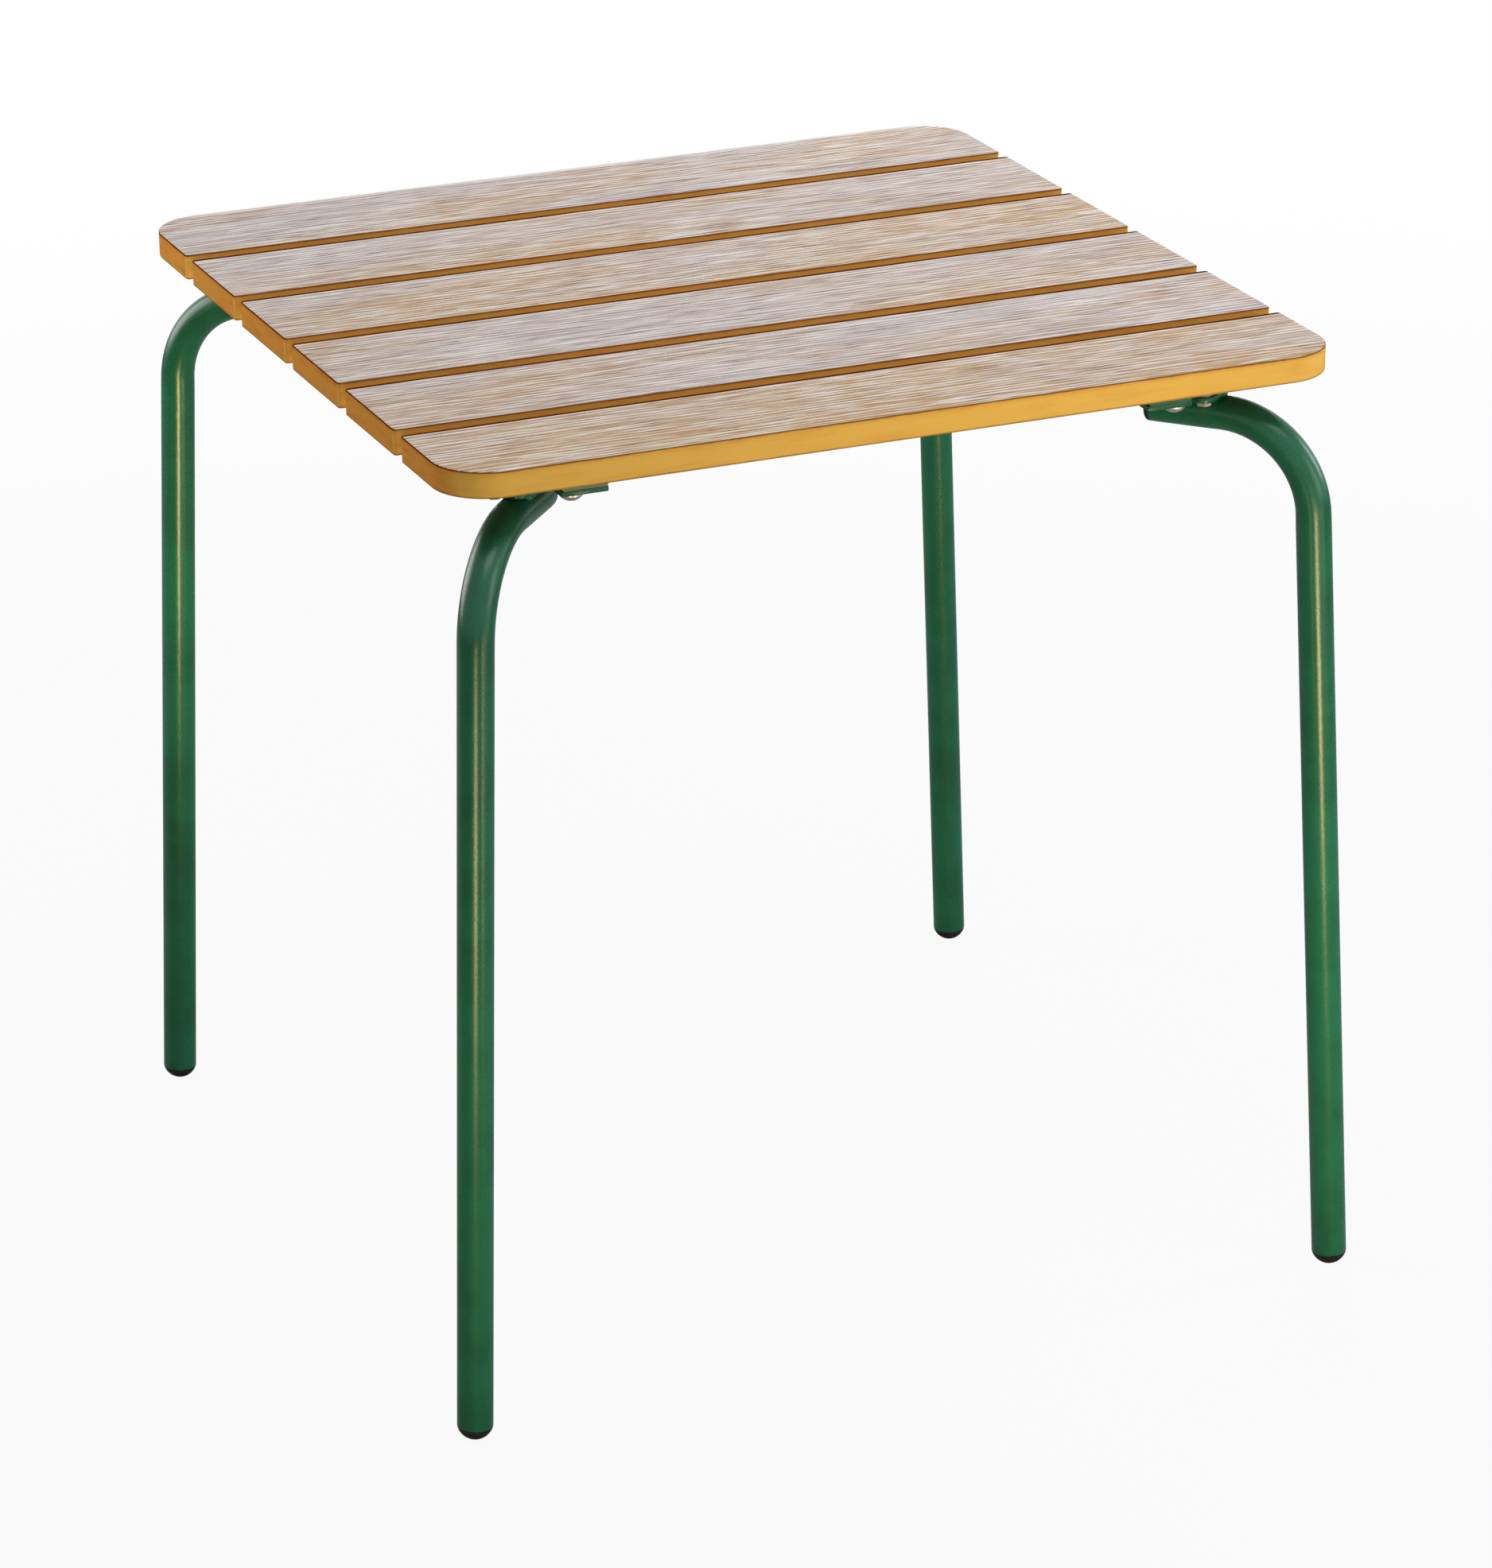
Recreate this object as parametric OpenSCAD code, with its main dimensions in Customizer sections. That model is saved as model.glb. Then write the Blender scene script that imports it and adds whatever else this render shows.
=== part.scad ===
// Garden table: six slats on two cross bars, carried by four bent tube legs.
// Millimetres. X runs along the slats, Y from front to back, Z up.
// The origin is on the ground, under the middle of the top.

/* [Top] */
// Length of every slat, which is the width of the table
top_w = 700; // [620:10:900]
// Width of one slat, front to back
slat_w = 105; // [90:1:125]
// Gap between neighbouring slats
slat_gap = 14; // [6:1:20]
// Thickness of the slats
slat_t = 20; // [18:0.5:30]
// Height of the top face above the ground
table_h = 744; // [600:1:800]
// Radius of the four corners of the top
corner_r = 42; // [10:1:60]
// Radius of the small upright corners at the slat ends
slat_end_r = 3; // [1:0.5:5]
// Radius along the long edges of the slats
slat_edge_r = 1.5; // [0.5:0.5:3]

/* [Cross bars] */
// Width of a cross bar, flat against the slats
bar_w = 36; // [32:1:50]
// Height of a cross bar
bar_h = 20; // [14:1:30]
// Wall of a cross bar
bar_wall = 1.5; // [1:0.25:2.5]
// Outer radius of the bar's long edges
bar_edge_r = 3; // [2.5:0.5:4]
// Distance from the front and back edges of the top to the bar ends
bar_setback = 50; // [35:1:60]
// Thickness of the plate that closes each bar end
bar_cap_t = 2; // [1:0.5:4]

/* [Legs] */
// Outer diameter of the leg tube
tube_d = 26.9; // [22:0.1:30]
// Wall of the leg tube
tube_wall = 2; // [1.5:0.25:3]
// Radius of the bend, to the middle of the tube
bend_r = 74; // [60:1:90]
// Distance in from the side edge of the top to the corner of the bend
leg_inset_x = 20.5; // [15:0.5:60]
// Distance in from the front or back edge of the top to the corner of the bend
leg_inset_y = 12; // [10:0.5:30]
// Heading of the tube's level end, from the slats' direction
run_heading = 48; // [42:1:52]
// Length of the level end, from the corner of the bend to the cut
run_len = 125; // [120:1:150]
// Outward lean of the legs, seen from the front
lean_side = 2.2; // [0:0.05:4]
// Outward lean of the legs, seen from the side
lean_front = 1.25; // [0:0.05:4]
// How far the tube's end reaches in under the cross bar
end_under_bar = 4; // [3:1:16]

/* [Leg plates] */
// Thickness of the plate welded on top of each tube
plate_t = 4; // [3:0.5:6]
// Width of the plate's tongue along the tube
tongue_w = 24; // [20:1:30]
// Radius of the round ear beside the tube
ear_r = 10; // [9:0.5:12]
// Distance from the start of the level end to the ear's screw
ear_along = 8; // [4:1:16]
// Leg size of the weld beads
weld_size = 4.5; // [3:0.5:6]

/* [Plugs] */
// Height of the domed foot below the cut end of the tube
foot_dome_h = 10.5; // [6:0.5:12]
// Depth by which the dome is worn flat where it stands
foot_flat = 0.5; // [0.3:0.1:1]
// Length of a plug's shank inside the tube
plug_shank = 18; // [12:1:25]
// Height of the plug that closes the tube's upper end
end_plug_h = 4; // [3:0.5:8]
// Rounding of that plug's rim
end_plug_r = 2.5; // [1:0.5:4]

/* [Fasteners] */
// Diameter of the domed bolts
bolt_d = 8; // [6:0.5:8]
// Diameter of a domed bolt's head
bolt_head_d = 18; // [15:0.5:20]
// Height of a domed bolt's head
bolt_head_h = 6; // [4:0.5:7]
// Distance from the bar's end to the first domed bolt
bolt_setback = 9; // [9:0.5:16]
// Outward shift of the first domed bolt from the bar's middle
bolt_shift = 7.5; // [0:0.5:8]
// Outer diameter of the threaded inserts
insert_d = 12; // [11:0.5:14]
// Diameter of the slat screws
screw_d = 5; // [4:0.5:6]
// Diameter of the slat screws' heads
screw_head_d = 10; // [8:0.5:12]
// Spacing of the two screws in a slat
screw_pitch = 60; // [40:1:70]
// Diameter of the ear screws
ear_screw_d = 6; // [5:0.5:7]
// Width across the flats of the ear screws' heads
ear_screw_af = 10; // [9:0.5:11]
// Depth of every fastener in the slats
grip = 13; // [10:0.5:14]

/* [Hidden] */
$fn = 96;

// The corners of the table, as signs of X and Y
LEFT = -1;
RIGHT = 1;
FRONT = -1;
BACK = 1;
SIDES = [-1, 1];

// Colours, as the finish of each kind of piece
SLAT_COLOUR = "#a8988a";
GREEN = "#1f6b4a";
BLACK = "#161616";
STEEL = "#c9ccce";
BRASS = "#b8924a";

// Clearances between pieces that fit together, and the overlap of a cut
fit_gap = 0.1;
hole_gap = 0.2;
head_gap = 0.7;
eps = 1;

// Layout of the top
slat_count = 6;
slat_pitch = slat_w + slat_gap;
top_d = slat_count * slat_w + (slat_count - 1) * slat_gap;
slat_z = table_h - slat_t;
function slat_y(k) = -top_d / 2 + k * slat_pitch;
function slat_middle(k) = slat_y(k) + slat_w / 2;

// Heights of the layers under the slats
bar_z = slat_z - bar_h;
plate_z = bar_z - plate_t;
run_z = plate_z - tube_d / 2;

// The back right corner: where the two straight parts of the tube would meet
corner_x = top_w / 2 - leg_inset_x;
corner_y = top_d / 2 - leg_inset_y;
run_end_x = corner_x - run_len * cos(run_heading);
run_end_y = corner_y - run_len * sin(run_heading);

// The bar lies over the tube's end, and stops short of the top's edge
bar_x = run_end_x + end_under_bar - bar_w / 2;
bar_end = top_d / 2 - bar_setback;

// The leg's lean, split into a roll of the bend's plane and a tilt in it
lean_across = tan(lean_side) * sin(run_heading) - tan(lean_front) * cos(run_heading);
lean_along = tan(lean_side) * cos(run_heading) + tan(lean_front) * sin(run_heading);
leg_roll = atan(lean_across);
leg_tilt = round(100 * atan(lean_along * cos(leg_roll))) / 100;
bend_angle = 90 - leg_tilt;
bend_start = bend_r * tan(bend_angle / 2);

// Feet: a dome is a cap of a ball, and its lowest part is cut flat
dome_r = (pow(tube_d / 2, 2) + pow(foot_dome_h, 2)) / (2 * foot_dome_h);
leg_down = cos(leg_tilt) * cos(leg_roll);
foot_joint_z = dome_r - foot_flat - (dome_r - foot_dome_h) * leg_down;
leg_len = (run_z - foot_joint_z) / leg_down - bend_start;

// Places of the fasteners that hold a leg, at the back right corner
bolt_1 = [bar_x + bolt_shift, bar_end - bolt_setback];
bolt_2 = [bar_x, slat_middle(slat_count - 2)];
plate_margin = 3;
plate_end = bolt_2[1] - bolt_head_d / 2 - plate_margin;

// The weld beads lie against the tube's upper side, and the ear's screw clears them
bead_side = tube_d / 4;
bead_stop = 5;
ear_side = bead_side + weld_size + head_gap + ear_screw_af / 2;

// Screws that hold the slats between the leg plates
screw_ys = [
  for (k = [0 : slat_count - 1], s = SIDES)
    let (y = slat_middle(k) + s * screw_pitch / 2)
      if (abs(y) < plate_end - screw_head_d) y
];

// A rectangle with round corners, one radius for its near and one for its far corners
module slab_outline(w, d, near_r, far_r) {
  translate([-w / 2, near_r]) square([w, d - near_r - far_r]);
  translate([near_r - w / 2, 0]) square([w - 2 * near_r, d / 2]);
  translate([far_r - w / 2, d / 2]) square([w - 2 * far_r, d / 2]);
  for (s = SIDES) {
    translate([s * (w / 2 - near_r), near_r]) circle(r = near_r);
    translate([s * (w / 2 - far_r), d - far_r]) circle(r = far_r);
  }
}

// Moves a piece drawn for the back right corner to another corner
module at_corner(sx, sy) {
  mirror([sx < 0 ? 1 : 0, 0, 0])
    mirror([0, sy < 0 ? 1 : 0, 0])
      children();
}

// Frame of a tube's level end: X heads for the middle of the table, Z is up
module run_frame() {
  translate([corner_x, corner_y, run_z])
    rotate([0, 0, 180 + run_heading])
      children();
}

// Frame at the middle of the bend's circle, with X along the level end
module bend_frame() {
  run_frame()
    rotate([leg_roll, 0, 0])
      translate([bend_start, 0, -bend_r])
        children();
}

// Frame at the lower end of the bend: Z points down the straight leg
module leg_frame() {
  bend_frame()
    rotate([0, -bend_angle, 0])
      translate([0, 0, bend_r])
        rotate([0, -90, 0])
          children();
}

// The side of the tube that the ear is on: neighbouring legs have it on opposite sides,
// as four like legs turned by a quarter each would
function ear_hand(sx, sy) = sx * sy;

// The ear's place in plan, beside the tube
module at_ear(sx, sy) {
  translate([corner_x, corner_y, 0])
    rotate([0, 0, 180 + run_heading])
      translate([bend_start + ear_along, ear_hand(sx, sy) * ear_side, 0])
        children();
}

// Every place where a domed bolt goes up into a slat
module at_domed_bolts() {
  for (sx = SIDES, sy = SIDES)
    at_corner(sx, sy)
      for (p = [bolt_1, bolt_2])
        translate([p[0], p[1], 0]) children();
}

// Every place where a screw goes through a cross bar into a slat
module at_slat_screws() {
  for (sx = SIDES, y = screw_ys)
    translate([sx * bar_x, y, 0]) children();
}

// Every place where a screw goes through an ear into an outer slat
module at_ear_screws() {
  for (sx = SIDES, sy = SIDES)
    at_corner(sx, sy) at_ear(sx, sy) children();
}

// One slat, with its blind holes from below; the outer two have the big corners
module slat(k) {
  near_r = k == 0 ? corner_r : slat_end_r;
  far_r = k == slat_count - 1 ? corner_r : slat_end_r;
  color(SLAT_COLOUR)
    difference() {
      intersection() {
        translate([0, slat_y(k), slat_z - eps])
          linear_extrude(slat_t + 2 * eps) slab_outline(top_w, slat_w, near_r, far_r);
        translate([-top_w / 2 - eps, slat_middle(k), slat_z])
          rotate([90, 0, 90])
            linear_extrude(top_w + 2 * eps)
              slab_outline(slat_w, slat_t, slat_edge_r, slat_edge_r);
      }
      slat_holes(k);
    }
}

// The blind holes of the fasteners that end in slat k
module slat_holes(k) {
  lo = slat_y(k);
  hi = lo + slat_w;
  for (sx = SIDES) {
    for (y = screw_ys)
      if (y > lo && y < hi)
        translate([sx * bar_x, y, slat_z - eps]) cylinder(h = grip + eps + hole_gap, d = screw_d + hole_gap);
    for (sy = SIDES) {
      for (p = [bolt_1, bolt_2])
        if (sy * p[1] > lo && sy * p[1] < hi)
          translate([sx * p[0], sy * p[1], slat_z - eps])
            cylinder(h = grip + eps + hole_gap, d = insert_d + hole_gap);
      if ((k == 0 && sy < 0) || (k == slat_count - 1 && sy > 0))
        at_corner(sx, sy) at_ear(sx, sy)
          translate([0, 0, slat_z - eps]) cylinder(h = grip + eps + hole_gap, d = ear_screw_d + hole_gap);
    }
  }
}

// A cross bar: a rectangular tube with a hole through both walls for each fastener
module cross_bar(sx) {
  inner_r = bar_edge_r - bar_wall;
  color(GREEN)
    difference() {
      translate([sx * bar_x, bar_end - bar_cap_t, bar_z])
        rotate([90, 0, 0])
          linear_extrude(2 * (bar_end - bar_cap_t))
            difference() {
              slab_outline(bar_w, bar_h, bar_edge_r, bar_edge_r);
              translate([0, bar_wall])
                slab_outline(bar_w - 2 * bar_wall, bar_h - 2 * bar_wall, inner_r, inner_r);
            }
      for (y = screw_ys)
        translate([sx * bar_x, y, bar_z - eps]) cylinder(h = bar_h + 2 * eps, d = screw_d + 2 * hole_gap);
      for (sy = SIDES)
        at_corner(sx, sy)
          for (p = [bolt_1, bolt_2])
            translate([p[0], p[1], bar_z - eps]) cylinder(h = bar_h + 2 * eps, d = bolt_d + 2 * hole_gap);
    }
}

// The plate welded over one end of a cross bar
module bar_cap(sx, sy) {
  color(GREEN)
    at_corner(sx, sy)
      translate([bar_x, bar_end, bar_z])
        rotate([90, 0, 0])
          linear_extrude(bar_cap_t) slab_outline(bar_w, bar_h, bar_edge_r, bar_edge_r);
}

// The tube's cross section
module tube_ring() {
  difference() {
    circle(d = tube_d);
    circle(d = tube_d - 2 * tube_wall);
  }
}

// One leg: a single bent tube, open at both ends
module leg(sx, sy) {
  color(GREEN)
    at_corner(sx, sy) {
      bend_frame() {
        translate([0, 0, bend_r])
          rotate([0, 90, 0]) linear_extrude(run_len - bend_start) tube_ring();
        rotate([90, 0, 0])
          rotate([0, 0, 90])
            rotate_extrude(angle = bend_angle) translate([bend_r, 0]) tube_ring();
      }
      leg_frame() linear_extrude(leg_len) tube_ring();
    }
}

// The leg plate seen from above: a strip under the bar, a tongue along the tube and an ear
module plate_outline(sx, sy) {
  ear_y = ear_hand(sx, sy) * ear_side;
  translate([bar_x - bar_w / 2, plate_end]) square([bar_w, bar_end - plate_end]);
  translate([corner_x, corner_y])
    rotate(180 + run_heading) {
      translate([bend_start + ear_along, -tongue_w / 2]) square([run_len - bend_start - ear_along, tongue_w]);
      translate([bend_start + ear_along, 0]) circle(d = tongue_w);
      translate([bend_start + ear_along - ear_r, min(ear_y, 0)]) square([2 * ear_r, ear_side]);
      translate([bend_start + ear_along, ear_y]) circle(r = ear_r);
    }
}

// One leg plate, with the holes for its two bolts and its ear screw
module leg_plate(sx, sy) {
  color(GREEN)
    at_corner(sx, sy)
      difference() {
        translate([0, 0, plate_z]) linear_extrude(plate_t) plate_outline(sx, sy);
        for (p = [bolt_1, bolt_2])
          translate([p[0], p[1], plate_z - eps]) cylinder(h = plate_t + 2 * eps, d = bolt_d + 2 * hole_gap);
        at_ear(sx, sy)
          translate([0, 0, plate_z - eps]) cylinder(h = plate_t + 2 * eps, d = ear_screw_d + 2 * hole_gap);
      }
}

// The two weld beads between a tube and its plate
module weld(sx, sy) {
  color(GREEN)
    at_corner(sx, sy)
      run_frame()
        for (s = SIDES)
          translate([bend_start + bead_stop, 0, 0])
            rotate([90, 0, 90])
              linear_extrude(run_len - bend_start - 2 * bead_stop)
                difference() {
                  translate([s > 0 ? bead_side : -bead_side - weld_size, tube_d / 2 - weld_size])
                    square(weld_size);
                  circle(d = tube_d);
                }
}

// The ribbed shank of a plug, from z = 0 up into the tube
module plug_shank() {
  bore = tube_d - 2 * tube_wall;
  rib_h = 1.5;
  cylinder(h = plug_shank, d = bore - 2 * rib_h);
  for (k = [1 : 3])
    translate([0, 0, k * plug_shank / 4]) cylinder(h = rib_h, d = bore - fit_gap);
}

// A foot: a dome under the tube's cut end, worn flat at the ground, and its shank
module foot(sx, sy) {
  color(BLACK)
    at_corner(sx, sy)
      intersection() {
        leg_frame()
          translate([0, 0, leg_len]) {
            mirror([0, 0, 1]) plug_shank();
            intersection() {
              translate([0, 0, foot_dome_h - dome_r]) sphere(r = dome_r);
              cylinder(h = foot_dome_h + eps, d = tube_d + eps);
            }
          }
        translate([0, 0, table_h / 2]) cube([2 * top_w, 2 * top_d, table_h], center = true);
      }
}

// The plug in the tube's upper end: a cap with a round rim, and its shank
module end_plug(sx, sy) {
  rim = tube_d / 2;
  color(BLACK)
    at_corner(sx, sy)
      bend_frame()
        translate([run_len - bend_start, 0, bend_r])
          rotate([0, 90, 0]) {
            mirror([0, 0, 1]) plug_shank();
            rotate_extrude() {
              square([rim, end_plug_h - end_plug_r]);
              square([rim - end_plug_r, end_plug_h]);
              translate([rim - end_plug_r, end_plug_h - end_plug_r])
                intersection() {
                  circle(r = end_plug_r);
                  square(end_plug_r);
                }
            }
          }
}

// A bolt with a smooth domed head and a hexagon socket, its seat at z = 0
module domed_bolt() {
  rim_h = 1;
  cap_h = bolt_head_h - rim_h;
  cap_r = (pow(bolt_head_d / 2, 2) + pow(cap_h, 2)) / (2 * cap_h);
  socket_af = 5;
  socket_depth = 3;
  difference() {
    union() {
      cylinder(h = plate_t + bar_h + grip, d = bolt_d);
      translate([0, 0, -rim_h]) cylinder(h = rim_h, d = bolt_head_d);
      intersection() {
        translate([0, 0, cap_r - bolt_head_h]) sphere(r = cap_r);
        translate([0, 0, -bolt_head_h - eps]) cylinder(h = cap_h + eps, d = bolt_head_d);
      }
    }
    translate([0, 0, -bolt_head_h - eps])
      cylinder(h = socket_depth + eps, d = socket_af / cos(30), $fn = 6);
  }
}

// All eight domed bolts
module domed_bolts() {
  color(STEEL) at_domed_bolts() translate([0, 0, plate_z]) domed_bolt();
}

// The eight threaded inserts that the domed bolts end in
module threaded_inserts() {
  color(BRASS)
    at_domed_bolts()
      translate([0, 0, slat_z])
        difference() {
          cylinder(h = grip, d = insert_d);
          translate([0, 0, -eps]) cylinder(h = grip + 2 * eps, d = bolt_d + fit_gap);
        }
}

// The pan head screws that hold the slats to the cross bars
module slat_screws() {
  head_h = 3;
  rim_h = 1;
  head_r = (pow(screw_head_d / 2, 2) + pow(head_h - rim_h, 2)) / (2 * (head_h - rim_h));
  color(STEEL)
    at_slat_screws()
      translate([0, 0, bar_z]) {
        cylinder(h = bar_h + grip, d = screw_d);
        translate([0, 0, -rim_h]) cylinder(h = rim_h, d = screw_head_d);
        intersection() {
          translate([0, 0, head_r - head_h]) sphere(r = head_r);
          translate([0, 0, -head_h - eps]) cylinder(h = head_h - rim_h + eps, d = screw_head_d);
        }
      }
}

// The hexagon head screws through the ears of the leg plates
module ear_screws() {
  head_h = 4;
  color(STEEL)
    at_ear_screws()
      translate([0, 0, plate_z]) {
        cylinder(h = plate_t + bar_h + grip, d = ear_screw_d);
        translate([0, 0, -head_h]) cylinder(h = head_h, d = ear_screw_af / cos(30), $fn = 6);
      }
}

// The sleeves that fill the height of the bar between an ear and its slat
module ear_spacers() {
  color(STEEL)
    at_ear_screws()
      translate([0, 0, bar_z])
        difference() {
          cylinder(h = bar_h, d = 2 * ear_screw_d);
          translate([0, 0, -eps]) cylinder(h = bar_h + 2 * eps, d = ear_screw_d + 2 * hole_gap);
        }
}

slat(0);  // slat_1
slat(1);  // slat_2
slat(2);  // slat_3
slat(3);  // slat_4
slat(4);  // slat_5
slat(5);  // slat_6
cross_bar(LEFT);  // cross_bar_left
cross_bar(RIGHT);  // cross_bar_right
bar_cap(LEFT, FRONT);  // bar_cap_front_left
bar_cap(RIGHT, FRONT);  // bar_cap_front_right
bar_cap(LEFT, BACK);  // bar_cap_back_left
bar_cap(RIGHT, BACK);  // bar_cap_back_right
leg(LEFT, FRONT);  // leg_front_left
leg(RIGHT, FRONT);  // leg_front_right
leg(LEFT, BACK);  // leg_back_left
leg(RIGHT, BACK);  // leg_back_right
leg_plate(LEFT, FRONT);  // leg_plate_front_left
leg_plate(RIGHT, FRONT);  // leg_plate_front_right
leg_plate(LEFT, BACK);  // leg_plate_back_left
leg_plate(RIGHT, BACK);  // leg_plate_back_right
weld(LEFT, FRONT);  // weld_front_left
weld(RIGHT, FRONT);  // weld_front_right
weld(LEFT, BACK);  // weld_back_left
weld(RIGHT, BACK);  // weld_back_right
foot(LEFT, FRONT);  // foot_front_left
foot(RIGHT, FRONT);  // foot_front_right
foot(LEFT, BACK);  // foot_back_left
foot(RIGHT, BACK);  // foot_back_right
end_plug(LEFT, FRONT);  // end_plug_front_left
end_plug(RIGHT, FRONT);  // end_plug_front_right
end_plug(LEFT, BACK);  // end_plug_back_left
end_plug(RIGHT, BACK);  // end_plug_back_right
domed_bolts();
threaded_inserts();
slat_screws();
ear_screws();
ear_spacers();
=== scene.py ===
"""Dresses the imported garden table: brushed boards, powder coated tubes, plugs and fasteners."""

import math

import bmesh
import bpy
import numpy as np
from mathutils import Matrix, Vector


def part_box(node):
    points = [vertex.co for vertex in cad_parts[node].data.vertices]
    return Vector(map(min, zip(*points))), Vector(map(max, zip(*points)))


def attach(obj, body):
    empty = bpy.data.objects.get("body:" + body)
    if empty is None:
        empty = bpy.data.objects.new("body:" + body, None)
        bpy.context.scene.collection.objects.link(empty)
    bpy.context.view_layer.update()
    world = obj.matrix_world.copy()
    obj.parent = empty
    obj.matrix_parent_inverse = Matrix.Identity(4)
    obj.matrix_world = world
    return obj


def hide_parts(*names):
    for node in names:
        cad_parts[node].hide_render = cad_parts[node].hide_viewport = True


bl_info = {
    "name": "Slatted Garden Table",
    "version": (1, 0, 0),
    "blender": (4, 5, 0),
    "location": "3D View > Sidebar > Garden Table",
    "description": "Builds the boards, tubes, plugs and fasteners of a slatted garden table",
    "category": "Object",
}

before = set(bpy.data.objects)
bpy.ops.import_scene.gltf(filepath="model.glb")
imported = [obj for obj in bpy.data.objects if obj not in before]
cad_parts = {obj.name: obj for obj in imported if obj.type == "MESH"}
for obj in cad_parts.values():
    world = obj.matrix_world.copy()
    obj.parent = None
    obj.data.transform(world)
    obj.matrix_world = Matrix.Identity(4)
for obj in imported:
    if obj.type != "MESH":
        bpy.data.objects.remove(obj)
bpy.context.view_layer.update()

MM = 0.001
LEFT_RIGHT = {"left": -1, "right": 1}
FRONT_BACK = {"front": -1, "back": 1}
CORNERS = [(row, side) for row in FRONT_BACK for side in LEFT_RIGHT]
SLATS = [f"slat_{number}" for number in range(1, 7)]

# How tan the ground colour of each board is, from the front one to the back one
BOARD_WARMTH = (0.12, -0.05, -0.04, 0.1, 0.02, -0.07)

# The photo's view: place in metres, angles in degrees, and focal length in pixels of the photo
VIEW_PLACE = (-1.660, -3.994, 2.053)
VIEW_HEADING = 22.75
VIEW_PITCH = 21.7
VIEW_ROLL = 0.67
FOCAL_PIXELS = 7410
PHOTO_HEIGHT = 1972

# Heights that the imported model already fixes
TOP_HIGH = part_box("slat_1")[1].z
TOP_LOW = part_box("slat_1")[0].z
PLATE_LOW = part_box("leg_plate_front_left")[0].z


def paint(code):
    """The linear colour of a written code such as #1f6b4a."""
    levels = [int(code[k:k + 2], 16) / 255 for k in (1, 3, 5)]
    return tuple(v / 12.92 if v <= 0.04045 else ((v + 0.055) / 1.055) ** 2.4 for v in levels)


# Sizes and colours that a user would change

def length(name, description, millimetres):
    """A property that holds a length in metres."""
    return bpy.props.FloatProperty(
        name=name,
        description=description,
        default=millimetres * MM,
        min=0,
        precision=5,
        subtype="DISTANCE",
        unit="LENGTH",
    )


def angle(name, description, degrees):
    """A property that holds an angle."""
    return bpy.props.FloatProperty(
        name=name,
        description=description,
        default=math.radians(degrees),
        subtype="ANGLE",
        unit="ROTATION",
    )


def colour(name, description, code):
    """A property that holds a paint colour."""
    return bpy.props.FloatVectorProperty(
        name=name,
        description=description,
        default=paint(code),
        min=0,
        max=1,
        size=3,
        subtype="COLOR",
    )


class TableSizes(bpy.types.PropertyGroup):
    """Sizes of the pieces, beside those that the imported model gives."""

    corner_radius: length("Corner radius", "Radius of the four corners of the top", 42)
    end_radius: length("Slat end radius", "Radius of the small upright corners of a slat", 3)
    arris_radius: length("Arris radius", "Rounding along the edges of a slat", 1.2)
    tube_diameter: length("Tube diameter", "Outer diameter of the leg tubes", 26.9)
    tube_wall: length("Tube wall", "Wall of the leg tubes", 2)
    bend_radius: length("Bend radius", "Radius of the bend, to the middle of the tube", 74)
    inset_side: length("Side inset", "From the side of the top to the corner of the bend", 20.5)
    inset_front: length("Front inset", "From the front of the top to the corner of the bend", 12)
    run_length: length("Level end", "Level part of the tube, from the corner of the bend", 125)
    run_heading: angle("Heading", "Heading of the level end, from the slats' direction", 48)
    lean_side: angle("Sideways lean", "Outward lean of the legs, seen from the front", 2.2)
    lean_front: angle("Forward lean", "Outward lean of the legs, seen from the side", 1.25)
    dome_height: length("Dome height", "Height of a foot's dome below the tube", 10.5)
    foot_flat: length("Foot flat", "Depth by which a foot is worn flat", 0.5)
    shank: length("Plug shank", "Length of a plug's shank inside the tube", 18)
    plug_height: length("Plug height", "Height of the plug in the tube's upper end", 4)
    plug_radius: length("Plug rim", "Rounding of that plug's rim", 2.5)
    bead_size: length("Weld bead", "Leg size of the weld beads", 4.5)
    bead_stop: length("Weld stop", "From the ends of the level tube to the ends of a bead", 5)
    plate_edge: length("Plate edge", "Rounding that the paint gives to the plates' edges", 0.5)


class TableFinishes(bpy.types.PropertyGroup):
    """Colours of the finishes."""

    # Also the painted highlight near the back edge of each board's top
    grain_pale: colour("Grain, pale", "Pale brush streaks of the boards", "#e6deda")
    grain_middle: colour("Grain, middle", "Ground colour of the boards", "#b9aaa5")
    grain_shade: colour("Grain, shade", "Darker streaks of the boards", "#8d7867")
    grain_dark: colour("Grain, dark", "Dark pores of the boards", "#54392a")
    grain_warm: colour("Grain, warm", "Tan patches of the boards", "#bc9a74")
    edge_ochre: colour("Edges", "Stained edges of the boards", "#dfb45c")
    # Also painted shade: on the end faces, in the gaps and just under the top of the sides
    edge_deep: colour("Edges, deep", "Deeper stain of the end grain and near the top", "#b8621a")
    # Also painted shade along the back edge of every board but the last
    edge_line: colour("Edge line", "Dark line under the brushed face", "#521f08")
    green: colour("Powder coat", "Powder coat of the steel", "#175f47")
    green_deep: colour("Powder coat, deep", "The coat where it is thick", "#104532")
    black: colour("Plastic", "Moulded feet and plugs", "#0a0a0a")
    zinc: colour("Zinc", "Plated bolts and screws", "#cfcac0")
    brass: colour("Brass", "Threaded inserts", "#c8a257")
    floor: colour("Floor", "Studio floor and backdrop", "#989898")


# Shader formulas

class Wire:
    """A shader socket that can stand in a formula."""

    def __init__(self, recipe, socket):
        self.recipe = recipe
        self.socket = socket

    def __add__(self, other):
        return self.recipe.maths("ADD", self, other)

    def __radd__(self, other):
        return self.recipe.maths("ADD", other, self)

    def __sub__(self, other):
        return self.recipe.maths("SUBTRACT", self, other)

    def __rsub__(self, other):
        return self.recipe.maths("SUBTRACT", other, self)

    def __mul__(self, other):
        return self.recipe.maths("MULTIPLY", self, other)


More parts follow.
